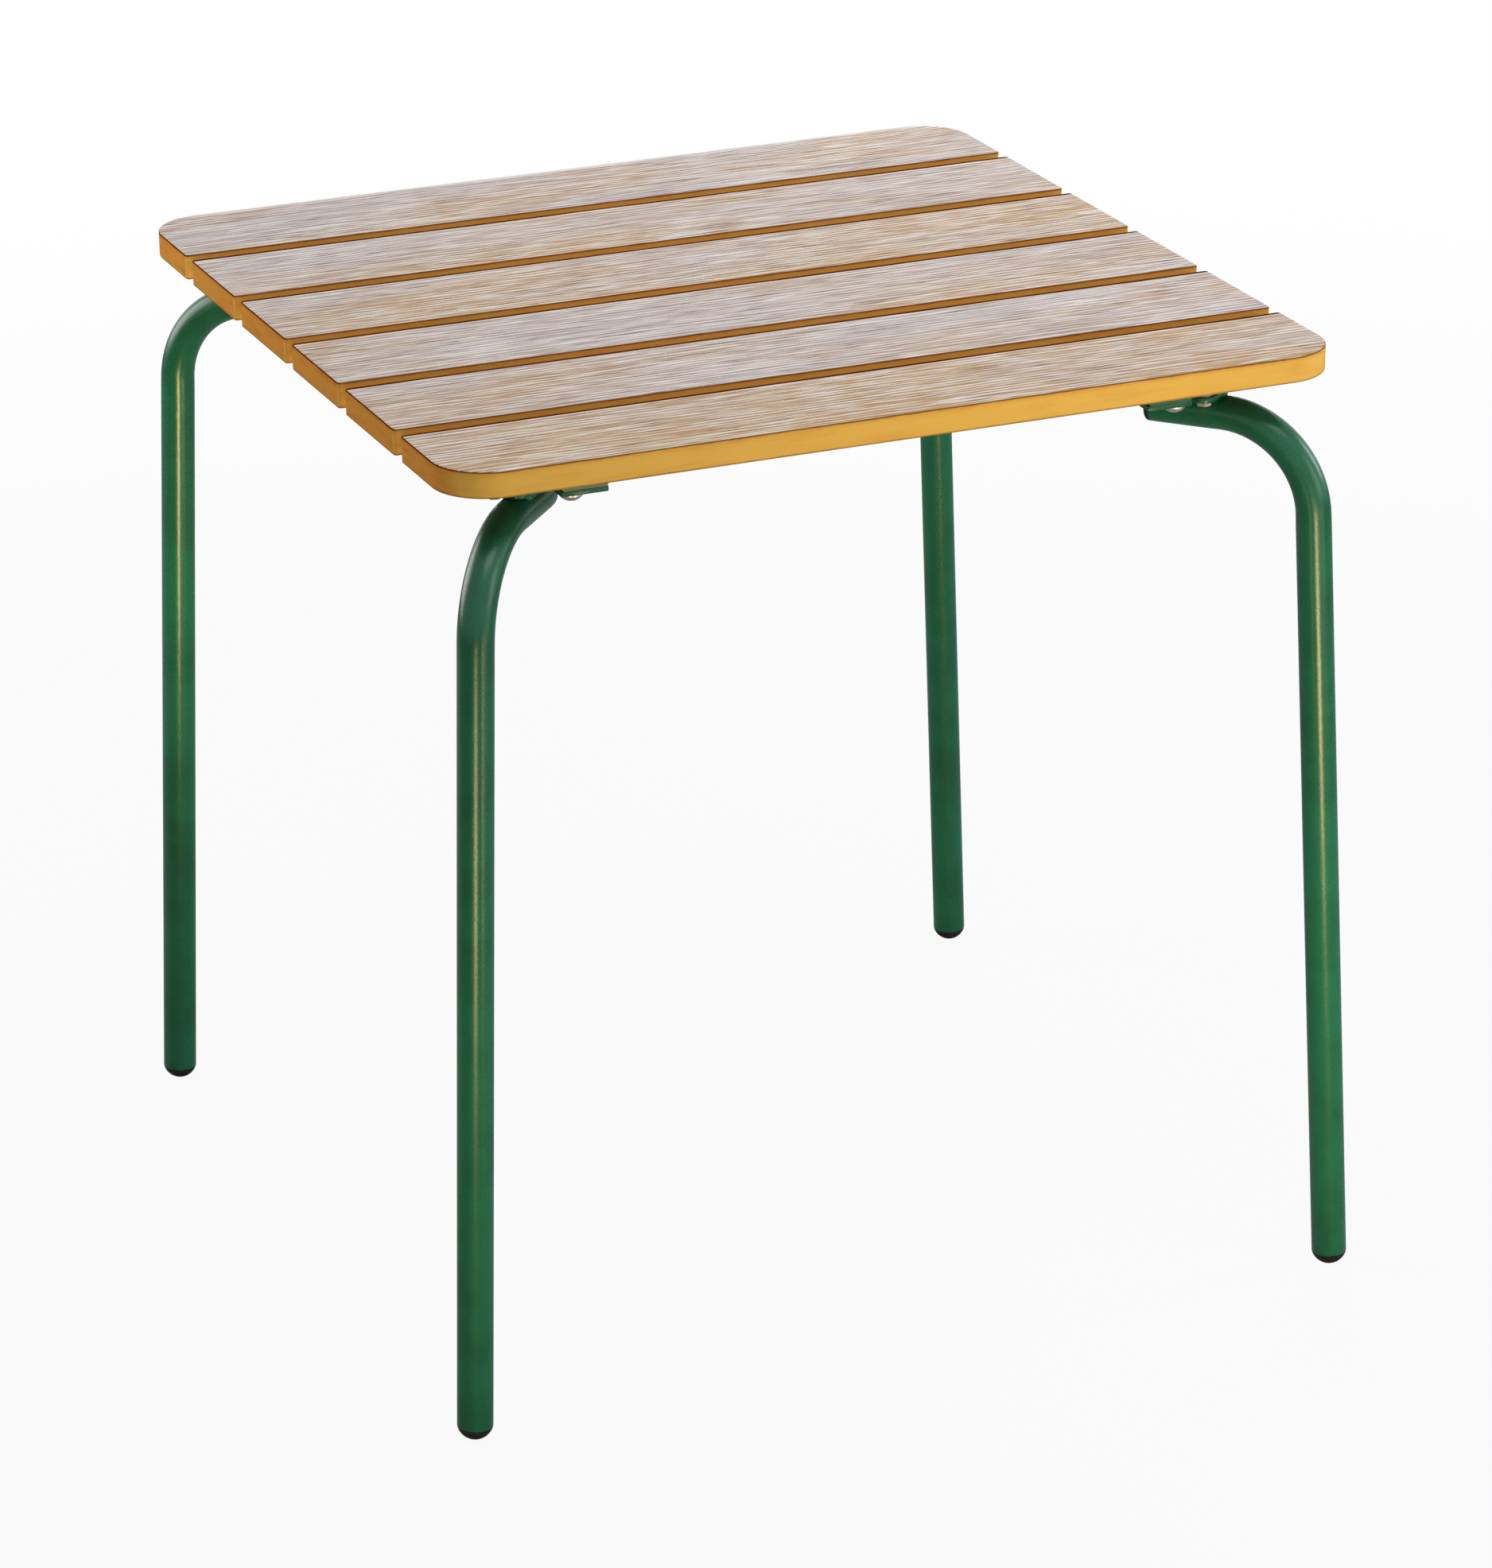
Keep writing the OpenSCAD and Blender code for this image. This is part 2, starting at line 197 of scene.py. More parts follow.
class Recipe:
    """Builds the nodes of one finish."""

    def __init__(self, tree):
        self.tree = tree
        self.tree.nodes.clear()

    def node(self, kind, settings=(), inputs=(), output=0):
        """Adds a node with its settings, and values or wires for its inputs. Returns the wire of
        one output, or nothing for a node without outputs."""
        made = self.tree.nodes.new(kind)
        for name, value in dict(settings).items():
            setattr(made, name, value)
        for name, value in dict(inputs).items():
            socket = made.inputs[name]
            if isinstance(value, Wire):
                self.tree.links.new(value.socket, socket)
            elif socket.type == "RGBA" and len(value) == 3:
                socket.default_value = (*value, 1)
            else:
                socket.default_value = value
        return Wire(self, made.outputs[output]) if made.outputs else None

    def maths(self, operation, first, second):
        """One sum of two numbers, at least one of them a wire."""
        return self.node("ShaderNodeMath", {"operation": operation}, {0: first, 1: second})

    def ramp(self, value, low, high):
        """Rises smoothly from 0 at low to 1 at high."""
        settings = {"interpolation_type": "SMOOTHSTEP"}
        inputs = {"Value": value, "From Min": low, "From Max": high}
        return self.node("ShaderNodeMapRange", settings, inputs)

    def mix(self, first, second, share):
        """The first colour, turning into the second as the share rises to 1. Inputs 6 and 7 and
        output 2 are the node's sockets for colours."""
        settings = {"data_type": "RGBA"}
        return self.node("ShaderNodeMix", settings, {0: share, 6: first, 7: second}, 2)

    def place(self):
        """The place on the piece, in metres in the table's frame."""
        return self.node("ShaderNodeTexCoord", output="Object")

    def part_of(self, vector, axis):
        """One coordinate of a vector."""
        return self.node("ShaderNodeSeparateXYZ", inputs={"Vector": vector}, output=axis)

    def stretch(self, vector, repeats, shift=(0, 0, 0), turn=0):
        """The vector turned about Z, scaled to so many repeats a metre, and shifted."""
        inputs = {"Vector": vector, "Scale": repeats, "Location": shift, "Rotation": (0, 0, turn)}
        return self.node("ShaderNodeMapping", inputs=inputs)

    def noise(self, vector, scale=1, detail=2, roughness=0.5, distortion=0):
        """Cloudy noise, about 0.5 on average."""
        inputs = {
            "Vector": vector,
            "Scale": scale,
            "Detail": detail,
            "Roughness": roughness,
            "Distortion": distortion,
        }
        return self.node("ShaderNodeTexNoise", inputs=inputs)

    def bump(self, height, strength, distance):
        """A surface normal tilted by a height."""
        inputs = {"Strength": strength, "Distance": distance, "Height": height}
        return self.node("ShaderNodeBump", inputs=inputs)

    def surface(self, inputs):
        """The finish itself, joined to the output."""
        shader = self.node("ShaderNodeBsdfPrincipled", inputs=inputs)
        self.node("ShaderNodeOutputMaterial", inputs={"Surface": shader})


def new_recipe(name):
    """An empty material and its recipe."""
    material = bpy.data.materials.new(name)
    material.use_nodes = True
    return material, Recipe(material.node_tree)


def wear_marks(r, place, shift):
    """Pale slanting nicks and small specks, both only in a few patches."""
    patch = r.noise(r.stretch(place, (7, 7, 1), shift), detail=0)
    nick = r.noise(r.stretch(place, (14, 700, 1), shift, math.radians(38)), detail=0)
    speck = r.noise(place, scale=800, detail=0)
    nicks = r.ramp(nick, 0.7, 0.75) * r.ramp(patch, 0.56, 0.62)
    return nicks + r.ramp(speck, 0.74, 0.8) * r.ramp(patch, 0.56, 0.64)


def brushed_face(r, place, shift, colours, warmth):
    """The top of a board: tan patches, streaks along X with a faint comb of grooves, and wear.
    Returns its colour, the thick streaks and the fine pale ones."""
    broad = r.noise(r.stretch(place, (4, 14, 3), shift), detail=1, distortion=0.3)
    thick = r.noise(r.stretch(place, (13, 330, 30), shift), detail=2, roughness=0.6)
    pores = r.noise(r.stretch(place, (26, 600, 30), shift[::-1]), detail=2, roughness=0.6)
    hairs = r.noise(r.stretch(place, (24, 680, 30), shift), detail=2, roughness=0.6)

    grooves_per_metre = 190
    sway = r.noise(r.stretch(place, (6, 60, 1), shift), detail=1) * 1.6
    comb = r.part_of(place, "Y") * grooves_per_metre + sway
    groove = r.maths("SINE", comb * math.tau, 0) * 0.08

    warm = r.ramp(broad + warmth, 0.28, 0.76)
    shade = r.ramp(thick, 0.58, 0.36) * 0.06
    pale = r.ramp(hairs + groove, 0.46, 0.62) * 0.8
    dark = r.ramp(pores + groove, 0.43, 0.28) * 0.7
    face = r.mix(tuple(colours.grain_middle), tuple(colours.grain_warm), warm)
    face = r.mix(face, tuple(colours.grain_shade), shade)
    face = r.mix(face, tuple(colours.grain_pale), pale)
    face = r.mix(face, tuple(colours.grain_dark), dark)
    face = r.mix(face, tuple(colours.grain_pale), wear_marks(r, place, shift))
    return face, thick, hairs


def stained_and_shaded_edge(r, place, shift, colours, number, half, beyond, far_end):
    """The sides of a board: ochre with a mottled stain, deeper on the end grain, partly as stain
    and partly as painted shade of the end faces, and deeper in the gaps as painted shade. The small
    upright corners of the ends keep the plain ochre as a painted highlight, and the sides are
    deeper just under the top as painted shade. A dark line runs under the brushed face and a faint
    one at the bottom. Returns the colour and the stain's mottle."""
    across = r.maths("ABSOLUTE", beyond, 0)
    along = r.maths("ABSOLUTE", r.part_of(place, "X"), 0)
    height = r.part_of(place, "Z")

    # On the two outer boards the deeper end colour, stain and painted shade, fades out round the
    # large corners
    fade = 12 * MM if number in (1, len(SLATS)) else 1.6 * MM
    on_end = r.ramp(along, far_end - fade, far_end - 0.6 * MM)
    corner_highlight = on_end * r.ramp(across, half - 3.2 * MM, half - 2 * MM)
    # Painted shade: deeper on the sides that face a neighbouring board across a gap
    gap_side = across
    if number == 1:
        gap_side = beyond
    if number == len(SLATS):
        gap_side = 0 - beyond
    gap_shade = r.ramp(gap_side, half - 2 * MM, half - MM)

    mottle = r.noise(r.stretch(place, (25, 25, 160), shift), detail=3, roughness=0.6)
    waver = r.noise(r.stretch(place, (70, 70, 0), shift), detail=2) - 0.5
    ragged = height + waver * (0.9 * MM)
    # The stain's mottle, with painted shade on the end faces and in the gaps
    deep = r.ramp(mottle, 0.42, 0.8) * 0.2 + r.maths("MAXIMUM", on_end * 0.55, gap_shade * 0.3)
    # Painted shade: deeper just under the top
    shade_under_top = r.ramp(ragged, TOP_HIGH - 5 * MM, TOP_HIGH - MM) * 0.3
    top_line = r.ramp(ragged, TOP_HIGH - 1.7 * MM, TOP_HIGH - 0.9 * MM) * (0.75 + on_end * 0.2)
    bottom_line = r.ramp(ragged, TOP_LOW + 2 * MM, TOP_LOW + MM) * 0.5
    edge = r.mix(tuple(colours.edge_ochre), tuple(colours.edge_deep), deep)
    # Painted highlight: the small upright corners of the ends keep the plain ochre
    edge = r.mix(edge, tuple(colours.edge_ochre), corner_highlight * 0.9)
    edge = r.mix(edge, tuple(colours.edge_deep), shade_under_top)
    edge = r.mix(edge, tuple(colours.edge_line), top_line)
    edge = r.mix(edge, tuple(colours.edge_line), bottom_line)
    return edge, mottle


def slat_finish(name, colours, number, low, high):
    """A board: a brushed face on top, stained sides, a pale strip near its back edge that is a
    painted highlight, and a dark rim along its back edge: its stained arris, widened into painted
    shade of the gap behind it, and so left out on the back board. It mirrors nothing, so that the
    rim stays dark."""
    material, r = new_recipe(name)
    place = r.place()
    shift = (3.7 * number, 1.9 * number, 0)
    half = (high.y - low.y) / 2
    beyond = r.part_of(place, "Y") - (low.y + half)
    face, thick, hairs = brushed_face(r, place, shift, colours, BOARD_WARMTH[number - 1])
    edge, mottle = stained_and_shaded_edge(r, place, shift, colours, number, half, beyond, high.x)

    from_middle = beyond + (thick - 0.5) * (2.5 * MM)
    # Painted highlight: a pale strip near the back edge of the top
    rim_highlight = r.ramp(from_middle, half - 7 * MM, half - 5 * MM)
    rim_stain_and_shade = r.ramp(from_middle, half - 5 * MM, half - 4 * MM)
    face = r.mix(face, tuple(colours.grain_pale), rim_highlight * 0.5)
    # Painted shade of the gap behind the board, over its stained back arris; none on the back board
    if number < len(SLATS):
        face = r.mix(face, tuple(colours.edge_line), rim_stain_and_shade)

    on_top = r.ramp(r.part_of(place, "Z"), TOP_HIGH - 0.4 * MM, TOP_HIGH - 0.15 * MM)
    relief = on_top * (thick * 0.6 + hairs * 0.4) + mottle * 0.1
    r.surface({
        "Base Color": r.mix(edge, face, on_top),
        "Roughness": 0.5 + on_top * (0.12 - hairs * 0.18),
        "Specular IOR Level": 0.0,
        "Normal": r.bump(relief, 0.5, 0.3 * MM),
    })
    return material


def shared_finish(context, name, make):
    """The finish of that name, made the first time that it is asked for."""
    return bpy.data.materials.get(name) or make(context.scene.table_finishes)


def powder_coat_finish(colours):
    """Textured powder coat: a fine pebble in the gloss, and slow changes of depth in the green."""
    material, r = new_recipe("textured_green_coat")
    place = r.place()
    pebble = r.noise(place, scale=900, detail=2, roughness=0.55)
    cloud = r.noise(place, scale=22, detail=3, roughness=0.6)
    depth = r.ramp(cloud, 0.35, 0.7) * 0.5
    r.surface({
        "Base Color": r.mix(tuple(colours.green), tuple(colours.green_deep), depth),
        "Roughness": 0.27 + (pebble - 0.5) * 0.12,
        "Specular IOR Level": 0.32,
        "Normal": r.bump(pebble, 0.35, 0.12 * MM),
    })
    return material


def plastic_finish(colours):
    """Moulded black plastic: satin, with a faint spark-eroded grain and scuffs."""
    material, r = new_recipe("satin_black_plastic")
    place = r.place()
    skin = r.noise(place, scale=1300, detail=1)
    scuff = r.noise(place, scale=130, detail=4, roughness=0.7)
    r.surface({
        "Base Color": r.mix(tuple(colours.black), paint("#2b2a29"), r.ramp(scuff, 0.55, 0.8) * 0.5),
        "Roughness": 0.38 + scuff * 0.22,
        "Specular IOR Level": 0.4,
        "Normal": r.bump(skin, 0.25, 0.06 * MM),
    })
    return material


def metal_finish(name, tint, stain):
    """Plated or turned metal: fine turning marks, and dull spots where it was handled."""
    material, r = new_recipe(name)
    place = r.place()
    marks = r.noise(r.stretch(place, (900, 900, 5200)), detail=2, roughness=0.6)
    spots = r.noise(place, scale=260, detail=3, roughness=0.65)
    r.surface({
        "Base Color": r.mix(tint, stain, r.ramp(spots, 0.5, 0.8) * 0.6),
        "Metallic": 1.0,
        "Roughness": 0.2 + spots * 0.22 + (marks - 0.5) * 0.1,
        "Normal": r.bump(marks, 0.2, 0.04 * MM),
    })
    return material


# Meshes

def finish_mesh(name, mesh, material, nodes, smooth_below=38):
    """Puts a mesh into the scene as a piece that stands for CAD nodes."""
    mesh.shade_smooth()
    mesh.set_sharp_from_angle(angle=math.radians(smooth_below))
    mesh.materials.clear()
    mesh.materials.append(material)
    piece = bpy.data.objects.new(name, mesh)
    bpy.context.scene.collection.objects.link(piece)
    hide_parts(*nodes)
    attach(piece, "root")


def outward(mesh):
    """Turns a closed mesh right side out: the volume under its triangles is made positive."""
    mesh.calc_loop_triangles()
    points = np.empty(len(mesh.vertices) * 3)
    mesh.vertices.foreach_get("co", points)
    corners = np.empty(len(mesh.loop_triangles) * 3, dtype=np.int32)
    mesh.loop_triangles.foreach_get("vertices", corners)
    triangle = points.reshape(-1, 3)[corners.reshape(-1, 3)]
    volume = np.einsum("ij,ij->", triangle[:, 0], np.cross(triangle[:, 1], triangle[:, 2]))
    if volume < 0:
        mesh.flip_normals()


def skin(name, shells):
    """A mesh of closed shells. Each shell is (rings, loop): rings of points joined in order,
    and the last joined to the first if loop, or else both closed by a flat face."""
    points = []
    faces = []
    start = 0
    for rings, loop in shells:
        rows, columns = rings.shape[:2]
        row = np.arange(rows if loop else rows - 1)[:, None]
        column = np.arange(columns)[None, :]
        next_row = (row + 1) % rows
        next_column = (column + 1) % columns
        quads = [
            row * columns + column,
            row * columns + next_column,
            next_row * columns + next_column,
            next_row * columns + column,
        ]
        faces += (np.stack(np.broadcast_arrays(*quads), axis=-1).reshape(-1, 4) + start).tolist()
        if not loop:
            faces.append((np.arange(columns)[::-1] + start).tolist())
            faces.append((np.arange(columns) + (rows - 1) * columns + start).tolist())
        points.append(rings.reshape(-1, 3))
        start += rows * columns
    mesh = bpy.data.meshes.new(name)
    mesh.from_pydata(np.concatenate(points), [], faces)
    outward(mesh)
    return mesh


def rounded_copy(node, width):
    """A CAD node's mesh with its loose triangles joined and its hard edges rounded by a bevel."""
    build = bmesh.new()
    build.from_mesh(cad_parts[node].data)
    bmesh.ops.remove_doubles(build, verts=build.verts, dist=0.002 * MM)
    bmesh.ops.dissolve_limit(
        build, angle_limit=math.radians(0.3), verts=build.verts, edges=build.edges
    )
    if width:
        hard_angle = math.radians(40)
        hard = [e for e in build.edges if e.is_manifold and e.calc_face_angle() > hard_angle]
        bmesh.ops.bevel(
            build,
            geom=hard,
            offset=width,
            segments=2,
            profile=0.5,
            affect="EDGES",
            clamp_overlap=True,
        )
    mesh = bpy.data.meshes.new(node + "_rounded")
    build.to_mesh(mesh)
    build.free()
    return mesh


# Shapes

def board_rings(low, high, radii, insets, heights):
    """Rings round a board with round corners. A ring's corner is a quarter circle whose centre lies
    max(radius, inset) in from both sides, and whose own radius is the radius less the inset."""
    steps = 14
    quarter = np.linspace(0, np.pi / 2, steps)
    insets = np.asarray(insets)[:, None]
    parts = []
    for k, (side_x, side_y) in enumerate(((1, 1), (-1, 1), (-1, -1), (1, -1))):
        radius = radii[side_y]
        turn = quarter + k * np.pi / 2
        corner_x = high.x if side_x > 0 else low.x
        corner_y = high.y if side_y > 0 else low.y
        reach = np.maximum(radius, insets)
        own = np.maximum(radius - insets, 0.02 * MM)
        x = corner_x - side_x * reach + own * np.cos(turn)
        y = corner_y - side_y * reach + own * np.sin(turn)
        z = np.broadcast_to(np.asarray(heights)[:, None], x.shape)
        parts.append(np.stack([x, y, z], axis=-1))
    return np.concatenate(parts, axis=1)


def board_profile(top, bottom, arris):
    """The edge of a board from the top face to the bottom face: insets and heights. Each arris is
    a quarter circle: inset = arris * (1 - sin a), height = top - arris * (1 - cos a)."""
    quarter = np.linspace(0, np.pi / 2, 6)
    rim = arris * (1 - np.sin(quarter))
    fall = arris * (1 - np.cos(quarter))
    insets = np.concatenate([[9 * MM, 4 * MM], rim, rim[::-1], [4 * MM, 9 * MM]])
    heights = np.concatenate([[top, top], top - fall, (bottom + fall)[::-1], [bottom, bottom]])
    return insets, heights


class LegPath:
    """The centre line of the leg tube at the back right corner, from its upper to its lower cut.
    With s the length along the tube and a the angle turned so far, in the plane of the bend:
    inwards = run length - level part - R sin a - straight part * cos a
    up = -R (1 - cos a) - straight part * sin a"""

    def __init__(self, sizes):
        self.radius = sizes.tube_diameter / 2
        self.bend = sizes.bend_radius
        self.run = sizes.run_length
        lean_x = math.tan(sizes.lean_side)
        lean_y = math.tan(sizes.lean_front)
        heading = sizes.run_heading
        across = lean_x * math.sin(heading) - lean_y * math.cos(heading)
        along = lean_x * math.cos(heading) + lean_y * math.sin(heading)
        roll = math.atan(across)
        tilt = math.atan(along * math.cos(roll))
        self.angle = math.pi / 2 - tilt
        self.level = self.run - self.bend * math.tan(self.angle / 2)
        self.arc = self.bend * self.angle
        self.turn = Matrix.Rotation(math.pi + heading, 3, "Z") @ Matrix.Rotation(roll, 3, "X")
        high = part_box(SLATS[-1])[1]
        corner_x = high.x - sizes.inset_side
        corner_y = high.y - sizes.inset_front
        self.corner = Vector((corner_x, corner_y, PLATE_LOW - self.radius))
        dome_radius = (self.radius ** 2 + sizes.dome_height ** 2) / (2 * sizes.dome_height)
        down = math.cos(tilt) * math.cos(roll)
        foot_joint = dome_radius - sizes.foot_flat - (dome_radius - sizes.dome_height) * down
        self.straight = (self.corner.z - foot_joint) / down - self.bend * math.tan(self.angle / 2)
        self.total = self.level + self.arc + self.straight

    def at(self, s):
        """Points, and the tube's outer, sideways and forward directions, at the lengths s."""
        s = np.asarray(s, dtype=float)
        level = np.minimum(s, self.level)
        a = np.clip((s - self.level) / self.bend, 0, self.angle)
        straight = np.maximum(s - self.level - self.arc, 0)
        inwards = self.run - level - self.bend * np.sin(a) - straight * np.cos(a)
        up = -self.bend * (1 - np.cos(a)) - straight * np.sin(a)
        zero = np.zeros_like(s)
        turn = np.array(self.turn)
        point = np.stack([inwards, zero, up], axis=-1) @ turn.T + np.array(self.corner)
        outer = np.stack([-np.sin(a), zero, np.cos(a)], axis=-1) @ turn.T
        sideways = np.stack([zero, zero + 1, zero], axis=-1) @ turn.T
        forward = np.stack([-np.cos(a), zero, -np.sin(a)], axis=-1) @ turn.T
        return point, outer, sideways, forward

    def rings(self, s, radii, steps=64, oval=0.0):
        """Circles round the line at the lengths s: point + radius * (cos t * outer + sin t *
        sideways), a little flatter across the bend where oval is given."""
        point, outer, sideways, _ = self.at(s)
        ease = 24 * MM
        into = np.clip((np.asarray(s) - self.level) / ease + 0.5, 0, 1)
        out_of = np.clip((self.level + self.arc - np.asarray(s)) / ease + 0.5, 0, 1)
        bent = (into * out_of) ** 2 * (3 - 2 * into * out_of)
        t = np.linspace(0, 2 * np.pi, steps, endpoint=False)
        radii = np.asarray(radii)
        flat = (radii * (1 - oval * bent))[:, None, None]
        wide = (radii * (1 + 0.4 * oval * bent))[:, None, None]
        ring = point[:, None, :] + flat * np.cos(t)[None, :, None] * outer[:, None, :]
        return ring + wide * np.sin(t)[None, :, None] * sideways[:, None, :]


def at_corner(rings, row, side):
    """Mirrors points drawn for the back right corner to another corner."""
    return rings * np.array([LEFT_RIGHT[side], FRONT_BACK[row], 1])


def lathe(centre, axis, first, second, lengths, radii, steps=64):
    """A turned shape: centre + length * axis + radius * (cos t * first + sin t * second)."""
    t = np.linspace(0, 2 * np.pi, steps, endpoint=False)
    circle = np.cos(t)[:, None] * first + np.sin(t)[:, None] * second
    middle = centre + np.asarray(lengths)[:, None] * axis
    return middle[:, None, :] + np.asarray(radii)[:, None, None] * circle[None, :, :]


def shank_profile(sizes):
    """Lengths and radii of a plug's shank, from its inner end to the tube's cut. Three ribs."""
    bore = sizes.tube_diameter / 2 - sizes.tube_wall
    core = bore - 1.5 * MM
    rib = bore - 0.05 * MM
    lengths = [-sizes.shank, -sizes.shank]
    radii = [0.2 * MM, core]
    for k in (3, 2, 1):
        start = -k * sizes.shank / 4
        lengths += [start - 1.5 * MM, start - 1.0 * MM, start, start]
        radii += [core, rib, rib, core]
    return lengths, radii


def leg_skin(path, sizes):
    """The tube's outside, lower edge, bore and upper edge, as one closed loop of rings."""
    edge = 0.5 * MM
    quarter = np.linspace(0, np.pi / 2, 4)
    rise = edge * (1 - np.cos(quarter))
    shrink = edge * (1 - np.sin(quarter))
    level = np.linspace(edge, path.level - 14 * MM, 5)[1:]
    bend = np.linspace(path.level - 12 * MM, path.level + path.arc + 14 * MM, 56)
    straight = np.linspace(path.level + path.arc + 14 * MM, path.total - edge, 24)[1:-1]
    outside = np.concatenate([rise, level, bend, straight, path.total - rise[::-1]])
    along = np.ones(len(outside) - 2 * len(rise)) * path.radius
    radii = np.concatenate([path.radius - shrink, along, path.radius - shrink[::-1]])
    bore = path.radius - sizes.tube_wall
    inside = np.linspace(path.total, 0, 70)
    s = np.concatenate([outside, inside])
    r = np.concatenate([radii, np.ones(len(inside)) * bore])
    return path.rings(s, r, oval=0.018)


def foot_skin(path, sizes):
    """A ribbed shank, a rim that meets the tube, and a dome that is flat where it stands.
    The dome's radius at a depth h is the root of R squared less (h - h0) squared."""
    point, outer, sideways, forward = (v[0] for v in path.at([path.total]))
    radius = path.radius
    dome_radius = (radius ** 2 + sizes.dome_height ** 2) / (2 * sizes.dome_height)
    centre = sizes.dome_height - dome_radius
    lengths, radii = shank_profile(sizes)
    depth = np.linspace(0.02, 0.999, 22) * sizes.dome_height
    lengths = np.concatenate([lengths, [0, 0], depth])
    dome = np.sqrt(dome_radius ** 2 - (depth - centre) ** 2)
    dome = np.minimum(dome, radius - 0.15 * MM)
    radii = np.concatenate([radii, [radii[-1], radius - 0.6 * MM], dome])
    rings = lathe(point, forward, outer, sideways, lengths, radii)
    rings[..., 2] = np.maximum(rings[..., 2], 0)
    return rings


def end_plug_skin(path, sizes):
    """A ribbed shank, a round rim and a slightly hollow face. The rim is a quarter circle."""
    point, outer, sideways, forward = (v[0] for v in path.at([0.0]))
    lengths, radii = shank_profile(sizes)
    rim = path.radius - 0.1 * MM
    quarter = np.linspace(0, np.pi / 2, 9)
    straight = sizes.plug_height - sizes.plug_radius
    edge_lengths = straight + sizes.plug_radius * np.sin(quarter)
    edge_radii = rim - sizes.plug_radius * (1 - np.cos(quarter))
    hollow = sizes.plug_height - np.array([0.3, 0.6, 0.6]) * MM
    hollow_radii = np.array([8, 5, 0.3]) * MM
    lengths = np.concatenate([lengths, [0, 0, 0.3 * MM], edge_lengths, hollow])
    radii = np.concatenate([radii, [radii[-1], rim - 0.3 * MM, rim], edge_radii, hollow_radii])
    return lathe(point, -forward, outer, sideways, lengths, radii)


def bead_skin(path, sizes, side):
    """A weld bead in the corner between the tube and its plate. Its face bulges in puddles: in
    millimetres, bulge = 0.5 + 0.6 |sin(pi x / pitch)|. The bead tapers at both ends."""
    puddle_pitch = 2.9 * MM
    taper_length = 3.5 * MM
    low = path.run - path.level + sizes.bead_stop
    high = path.run - sizes.bead_stop
    x = np.linspace(low, high, 90)
    radius = path.radius
    start = radius / 2
    theta = np.linspace(math.asin(start / radius), math.acos(1 - sizes.bead_size / radius), 7)
    on_tube = np.stack([radius * np.sin(theta), radius * np.cos(theta)], axis=-1)
    root = np.array([start, radius])
    lip = np.array([start + sizes.bead_size, radius])
    u = np.linspace(0, 1, 9)[1:-1]
    chord = on_tube[-1] + u[:, None] * (lip - on_tube[-1])
    away = np.array([1.0, -0.28]) / math.hypot(1.0, 0.28)
    puddle = (0.5 + 0.6 * np.abs(np.sin(np.pi * x / puddle_pitch))) * MM
    swell = chord[None] + (np.sin(np.pi * u)[None, :] * puddle[:, None])[..., None] * away
    fixed = np.concatenate([[root], on_tube])
    before = np.broadcast_to(fixed, (len(x), *fixed.shape))
    after = np.broadcast_to(lip, (len(x), 1, 2))
    section = np.concatenate([before, swell, after], axis=1)
    taper = np.sqrt(np.clip(np.minimum(x - low, high - x) / taper_length, 0.01, 1))
    section = root + (section - root) * taper[:, None, None]
    along = np.broadcast_to(x[:, None], section.shape[:2])
    local = np.stack([along, side * section[..., 0], section[..., 1]], axis=-1)
    level_turn = np.array(Matrix.Rotation(math.pi + sizes.run_heading, 3, "Z"))
    return local @ level_turn.T + np.array(path.corner)


# Operators, one for each group of like pieces

class TABLE_OT_slats(bpy.types.Operator):
    """Make the six boards of the top"""

    bl_idname = "table.slats"
    bl_label = "Slats"

    def execute(self, context):
        sizes = context.scene.table_sizes
        insets, heights = board_profile(TOP_HIGH, TOP_LOW, sizes.arris_radius)
        colours = context.scene.table_finishes
        for number, node in enumerate(SLATS, start=1):
            low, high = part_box(node)
            radii = {
                -1: sizes.corner_radius if number == 1 else sizes.end_radius,
                1: sizes.corner_radius if number == len(SLATS) else sizes.end_radius,
            }
            mesh = skin(node, [(board_rings(low, high, radii, insets, heights), False)])
            material = slat_finish(node + "_board", colours, number, low, high)
            finish_mesh(node + "_board", mesh, material, [node])
        return {"FINISHED"}


class TABLE_OT_cross_bars(bpy.types.Operator):
    """Dress the two cross bars and their end plates"""

    bl_idname = "table.cross_bars"
    bl_label = "Cross bars"

    def execute(self, context):
        coat = shared_finish(context, "textured_green_coat", powder_coat_finish)
        nodes = [f"cross_bar_{side}" for side in LEFT_RIGHT]
        nodes += [f"bar_cap_{row}_{side}" for row, side in CORNERS]
        for node in nodes:
            finish_mesh(node + "_coated", rounded_copy(node, 0), coat, [node])
        return {"FINISHED"}


class TABLE_OT_legs(bpy.types.Operator):
    """Make the four bent leg tubes"""

    bl_idname = "table.legs"
    bl_label = "Legs"

    def execute(self, context):
        sizes = context.scene.table_sizes
        coat = shared_finish(context, "textured_green_coat", powder_coat_finish)
        path = LegPath(sizes)
        rings = leg_skin(path, sizes)
        for row, side in CORNERS:
            node = f"leg_{row}_{side}"
            mesh = skin(node, [(at_corner(rings, row, side), True)])
            finish_mesh(node + "_tube", mesh, coat, [node])
        return {"FINISHED"}


class TABLE_OT_leg_plates(bpy.types.Operator):
    """Dress the four leg plates"""

    bl_idname = "table.leg_plates"
    bl_label = "Leg plates"

    def execute(self, context):
        coat = shared_finish(context, "textured_green_coat", powder_coat_finish)
        width = context.scene.table_sizes.plate_edge
        for row, side in CORNERS:
            node = f"leg_plate_{row}_{side}"
            mesh = rounded_copy(node, width)
            finish_mesh(node + "_coated", mesh, coat, [node])
        return {"FINISHED"}


